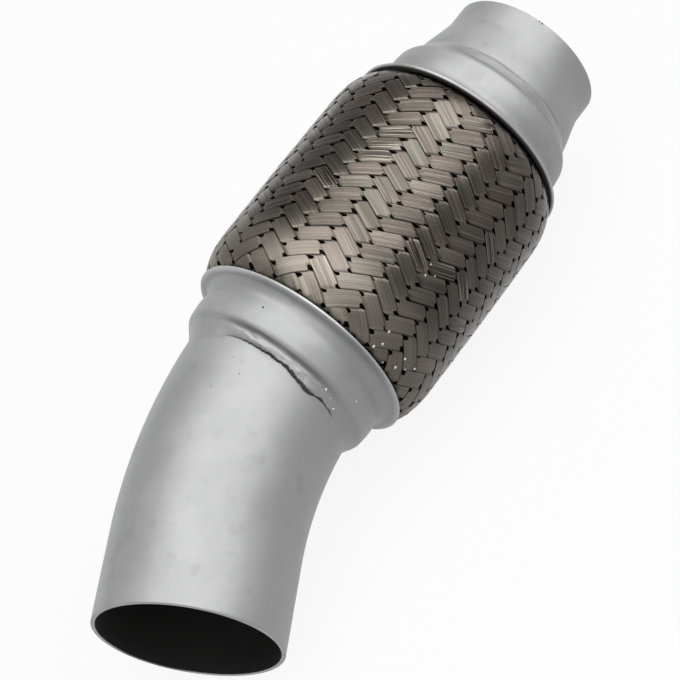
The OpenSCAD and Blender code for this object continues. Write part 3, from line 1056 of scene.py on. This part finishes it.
class FLEXPIPE_OT_braid(bpy.types.Operator):
    """Weaves the braid from ribbons that run both ways, two over and two under"""
    bl_idname = "flexpipe.braid"
    bl_label = "Braid"

    STEPS_PER_PICK = 42
    STEPS_ACROSS = 2

    # How far the ribbons run on into the pockets, and how much of their crown they keep below
    RUN_ON = 1.06
    CROWN_BELOW = 0.6

    # Unevenness of a ribbon: where its noise starts, how often it changes, how much
    SWAY = (0.0, 0.45, 0.05)
    WIDTH = (5.1, 0.3, 0.05)
    PINCH = (2.9, 1.1, 1.1)
    LIFT = (9.7, 0.8, 0.00008)

    # How much lower than even a ribbon lies, as a share of its lift
    LOWERED = 0.6

    # Step of the noise from ribbon to ribbon, and between the two ways
    RIBBON_SEED = 7.31
    WAY_SEED = 3.7

    # In a pocket: how much of its way a ribbon still goes on and goes down, and where painted shade
    # starts
    POCKET_ON = 0.6
    POCKET_DOWN = 0.8
    POCKET_SHADE = 0.001

    # Half of a ribbon's own room in the map that the finish reads
    HALF_STRAND = 0.499

    def execute(self, context):
        sizes, braid = context.scene.flex_sizes, context.scene.flex_braid
        for way, name in ((1, "braid_first_way"), (-1, "braid_second_way")):
            bm = bmesh.new()
            bm.loops.layers.uv.new("strand")
            bm.verts.layers.float.new("sink")
            for index in range(braid.ribbons):
                self.ribbon(bm, sizes, braid, way, index)
            smooth(bm, sharp=math.radians(50))
            piece(name, bm, ["ribbon_wire"], ["braid"])
        return {"FINISHED"}

    def outline(self, braid, half, x):
        """Radius of the braid's face at a distance from its middle."""
        inside = held((half - abs(x)) / braid.shoulder)
        swell = math.sqrt(max(0.0, 1 - (1 - inside) ** 2))
        crown = braid.belly_crown * (1 - (x / half) ** 2)
        flat = braid.belly_radius - braid.belly_crown
        return braid.pocket_radius + swell * (flat + crown - braid.pocket_radius)

    def over(self, braid, way, index, place):
        """How high a ribbon lies, from 0 under to 1 on top, and its way past the middle of a dive.

        The way past the middle is 1 where the ribbon doesn't dive.
        """
        before = math.floor(place)
        first, last = [1.0 if ((index + other) % 4 < 2) == (way > 0) else 0.0
                       for other in (before, before + 1)]
        past = place - before - 0.5
        height = first + (last - first) * eased(held(past / braid.dive + 0.5))
        return height, past if first != last else 1.0

    def drawn_in(self, braid, past, across):
        """Share by which an edge draws in: one before the middle of a dive, the other past it."""
        reach = braid.pit / 2
        return across * bell(past, -math.copysign(reach, across), reach, steep=8)

    def ribbon(self, bm, sizes, braid, way, index):
        """Lays one ribbon, over and under those that run the other way."""
        uv_layer = bm.loops.layers.uv["strand"]
        sink_layer = bm.verts.layers.float["sink"]
        grid = bmesh.ops.create_grid(
            bm, x_segments=int(braid.picks * self.STEPS_PER_PICK), y_segments=self.STEPS_ACROSS,
            size=0.5)
        middle = (sizes.inlet_lip + sizes.outlet_lip) / 2 - braid.pocket_lean
        half = (sizes.outlet_lip - sizes.inlet_lip) / 2 - braid.pocket_inset
        half_picks = braid.picks / 2
        pitch = 2 * math.pi / braid.ribbons
        seed = Vector((index * self.RIBBON_SEED, way * self.WAY_SEED, 0))
        on_ribbon = {}

        def uneven(steps, start, often, amount, edge=0.0, lowered=0.0):
            return (noise.noise(seed + Vector((start, edge, steps * often))) - lowered) * amount

        for vert in grid["verts"]:
            steps = 2 * half_picks * vert.co.x
            across = vert.co.y * 2
            on_ribbon[vert] = (across, steps)
            other = index - way * 2 * (steps * self.RUN_ON + braid.shift)
            height, past = self.over(braid, way, index, other)
            width = braid.width * (1 + uneven(steps, *self.WIDTH))
            pinch = braid.pinch * (1 + uneven(steps, *self.PINCH, edge=across))
            own = (index + uneven(steps, *self.SWAY) + across * width / 2
                   - pinch * self.drawn_in(braid, past, across))
            climb = (way * (own - other) / 2 - braid.shift) / half_picks
            x = half * ((1 - braid.spread) * climb + braid.spread * climb ** 3)
            tucked = max(0.0, abs(x) - half)
            x = math.copysign(min(abs(x), half + self.POCKET_ON * tucked), x)
            radius = self.outline(braid, half, x) - braid.drop * (1 - height)
            radius += uneven(steps, *self.LIFT, lowered=self.LOWERED) - self.POCKET_DOWN * tucked
            radius -= braid.crown * across * across * at_least(self.CROWN_BELOW, height)
            # Painted black shade where the ribbon runs under and near the pockets
            vert[sink_layer] = max(1 - height, held(1 - (half - abs(x)) / self.POCKET_SHADE))
            vert.co = round_place(middle + x, radius, braid.turn + (own + other) / 2 * pitch)
        faces = list(dict.fromkeys(face for vert in grid["verts"] for face in vert.link_faces))
        for face in faces:
            for loop in face.loops:
                across, steps = on_ribbon[loop.vert]
                loop[uv_layer].uv = (index + 0.5 + across * self.HALF_STRAND, steps)
        face_outwards(bm, faces)
        bmesh.ops.solidify(bm, geom=faces, thickness=braid.thickness)


class FLEXPIPE_OT_spatter(bpy.types.Operator):
    """Drops small beads of weld spatter on the inlet's weld and on the braid beside it"""
    bl_idname = "flexpipe.spatter"
    bl_label = "Spatter"

    CARRIERS = ("inlet_bead", "inlet_cup_spun", "braid_first_way", "braid_second_way")
    SHAPE = Matrix.Diagonal((1.3, 1, 1, 1))

    # Place from the inlet's lip (mm), angle from the side of the bend (degrees), radius (mm)
    DROPS = (
        (-15.6, -45, 0.525), (-17.4, -32, 0.45), (-10.6, -26, 0.375), (-16.2, -39, 0.275),
        (3.2, -44, 0.5), (5.5, -42, 0.45), (4.3, -28, 0.525), (8.2, -28, 0.425), (9.4, -19, 0.45),
        (9.4, -44, 0.475), (2.6, -33, 0.325), (6.6, -23, 0.3), (31.3, -47, 0.375),
        (33.6, -43, 0.425), (35.2, -48, 0.325))

    def execute(self, context):
        lip = context.scene.flex_sizes.inlet_lip
        context.view_layer.update()
        bm = bmesh.new()
        for place, angle, radius in self.DROPS:
            spot, _ = outermost(self.CARRIERS, lip + place / MM_PER_M, math.radians(angle))
            drop(bm, spot, radius, self.SHAPE)
        smooth(bm, sharp=math.pi)
        piece("spatter", bm, ["drop_metal"], [])
        return {"FINISHED"}


class FLEXPIPE_OT_specks(bpy.types.Operator):
    """Sets small dark specks and nicks on the sheet and the tubes"""
    bl_idname = "flexpipe.specks"
    bl_label = "Specks"

    SHAPE = Matrix.Diagonal((1, 1, 0.1, 1))

    # Piece, place along the flex axis (mm), angle from the side of the bend (degrees), radius (mm)
    SPECKS = (
        ("inlet_cup_spun", -141.6, -100, 0.36), ("inlet_pipe", -159.0, -100, 0.2),
        ("inlet_pipe", -163.0, -90, 0.22), ("inlet_pipe", -171.0, -100, 0.2),
        ("outlet_pipe", -0.4, -78.5, 0.28), ("outlet_pipe", -0.4, -76, 0.34))

    # Burrs on the inlet's rim: degrees from its lowest point, radius in millimetres
    BURRS = ((-61, 0.45), (-47, 0.5))
    BURR_INSET = 0.0002
    BURR_SETBACK = 0.0004

    def execute(self, context):
        reach = context.scene.flex_sizes.tube_radius - self.BURR_INSET
        context.view_layer.update()
        bm = bmesh.new()
        for turn, radius in self.BURRS:
            spot = INLET_MOUTH + rim_way(math.radians(turn)) * reach
            drop(bm, spot - INLET_AXIS * self.BURR_SETBACK, radius)
        for carrier, place, angle, radius in self.SPECKS:
            spot, normal = outermost((carrier,), place / MM_PER_M, math.radians(angle))
            lie = normal.to_track_quat("Z", "Y").to_matrix().to_4x4()
            drop(bm, spot, radius, lie @ self.SHAPE)
        smooth(bm, sharp=math.pi)
        piece("specks", bm, ["inside_soot"], [])
        return {"FINISHED"}


class FLEXPIPE_OT_core(bpy.types.Operator):
    """Darkens the bellows and the liner inside the braid, as painted black shade behind its gaps"""
    bl_idname = "flexpipe.core"
    bl_label = "Bellows and liner"

    def execute(self, context):
        for name in ("bellows", "liner"):
            node = frame["nodes"][name]
            node.data.materials.clear()
            node.data.materials.append(finish_named("inside_soot"))
        return {"FINISHED"}


class FLEXPIPE_OT_stage(bpy.types.Operator):
    """Sets the floor, the lights and the camera"""
    bl_idname = "flexpipe.stage"
    bl_label = "Stage"

    WHITE = (1, 1, 1, 1)
    FLOOR_GREY = (0.65, 0.65, 0.65, 1)
    FLOOR_SIZE = 4.0

    # Share of the floor that is its own white; the rest shows the shadow
    FLOOR_GLOW = 0.9

    # Width in millimetres of the picture behind the lens, and the nearest that the camera sees
    SENSOR_WIDTH = 36.0
    CLIP_START = 0.01

    # Where the lights look, and their widths and lengths
    AIM = Vector((-0.11, 0, 0))
    KEY_SIZE = (1.8, 3.2)
    SIDE_SIZE = (1.0, 1.0)

    def execute(self, context):
        scene, stage = context.scene, context.scene.flex_stage
        self.floor(scene)
        self.lights(scene, stage)
        camera = bpy.data.objects.new("camera", bpy.data.cameras.new("camera"))
        camera.data.lens = stage.lens
        camera.data.sensor_width = self.SENSOR_WIDTH
        camera.data.clip_start = self.CLIP_START
        camera.location = stage.camera_place
        camera.rotation_euler = stage.camera_turn
        scene.collection.objects.link(camera)
        scene.camera = camera
        scene.view_settings.view_transform = "Standard"
        return {"FINISHED"}

    def floor(self, scene):
        """Lays a white floor that still takes the pipe's shadow."""
        bm = bmesh.new()
        bmesh.ops.create_grid(bm, x_segments=2, y_segments=2, size=self.FLOOR_SIZE,
                              matrix=Matrix.Translation((0, 0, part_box("braid")[0][2])))
        mesh = bpy.data.meshes.new("floor")
        bm.to_mesh(mesh)
        bm.free()
        finish = Finish("white_floor")
        camera, glossy, clear = [
            finish.node("ShaderNodeLightPath", {}, {}, name)
            for name in ("Is Camera Ray", "Is Glossy Ray", "Is Transmission Ray")]
        seen = camera.larger(glossy.larger(clear))
        matt = finish.node("ShaderNodeBsdfDiffuse", {}, {"Color": self.FLOOR_GREY})
        glow = finish.node("ShaderNodeEmission", {}, {"Color": self.WHITE, "Strength": 1.0})
        mixed = finish.node("ShaderNodeMixShader", {},
                            {0: seen * self.FLOOR_GLOW, 1: matt, 2: glow})
        finish.node("ShaderNodeOutputMaterial", {}, {"Surface": mixed})
        mesh.materials.append(finish.material)
        floor = bpy.data.objects.new("floor", mesh)
        scene.collection.objects.link(floor)

    def lights(self, scene, stage):
        """Sets light from all round, a large light overhead and one past the inlet."""
        world = bpy.data.worlds.new("room")
        world.use_nodes = True
        background = world.node_tree.nodes["Background"]
        background.inputs["Color"].default_value = self.WHITE
        background.inputs["Strength"].default_value = stage.room_light
        scene.world = world
        for name, place, size, power in (
                ("key", stage.key_place, self.KEY_SIZE, stage.key_power),
                ("side", stage.side_place, self.SIDE_SIZE, stage.side_power)):
            light = bpy.data.lights.new(name, "AREA")
            light.shape = "RECTANGLE"
            light.size, light.size_y = size
            light.energy = power
            lamp = bpy.data.objects.new(name, light)
            lamp.location = place
            lamp.rotation_euler = (self.AIM - lamp.location).to_track_quat("-Z", "Y").to_euler()
            scene.collection.objects.link(lamp)


class FLEXPIPE_PT_panel(bpy.types.Panel):
    """Lists the steps that build the pipe"""
    bl_idname = "FLEXPIPE_PT_panel"
    bl_label = "Flex pipe"
    bl_space_type = "VIEW_3D"
    bl_region_type = "UI"
    bl_category = "Flex pipe"

    def draw(self, context):
        for operator in OPERATORS:
            self.layout.operator(operator.bl_idname)
        for name in POINTERS:
            group = getattr(context.scene, name)
            box = self.layout.box()
            for field in group.bl_rna.properties.keys():
                if field not in ("rna_type", "name"):
                    box.prop(group, field)


OPERATORS = (FLEXPIPE_OT_core, FLEXPIPE_OT_tubes, FLEXPIPE_OT_cups, FLEXPIPE_OT_welds,
             FLEXPIPE_OT_braid, FLEXPIPE_OT_spatter, FLEXPIPE_OT_specks, FLEXPIPE_OT_stage)
POINTERS = {"flex_sizes": PipeSizes, "flex_braid": BraidSizes, "flex_colours": FinishColours,
            "flex_stage": StageSettings}
CLASSES = (*POINTERS.values(), *OPERATORS, FLEXPIPE_PT_panel)


def register():
    for cls in CLASSES:
        bpy.utils.register_class(cls)
    for name, group in POINTERS.items():
        setattr(bpy.types.Scene, name, PointerProperty(type=group))


def unregister():
    for name in POINTERS:
        delattr(bpy.types.Scene, name)
    for cls in reversed(CLASSES):
        bpy.utils.unregister_class(cls)


def main():
    register()
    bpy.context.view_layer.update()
    bpy.ops.flexpipe.core()
    bpy.ops.flexpipe.tubes()
    bpy.ops.flexpipe.cups()
    bpy.ops.flexpipe.welds()
    bpy.ops.flexpipe.braid()
    bpy.ops.flexpipe.spatter()
    bpy.ops.flexpipe.specks()
    bpy.ops.flexpipe.stage()


if __name__ == "__main__":
    main()
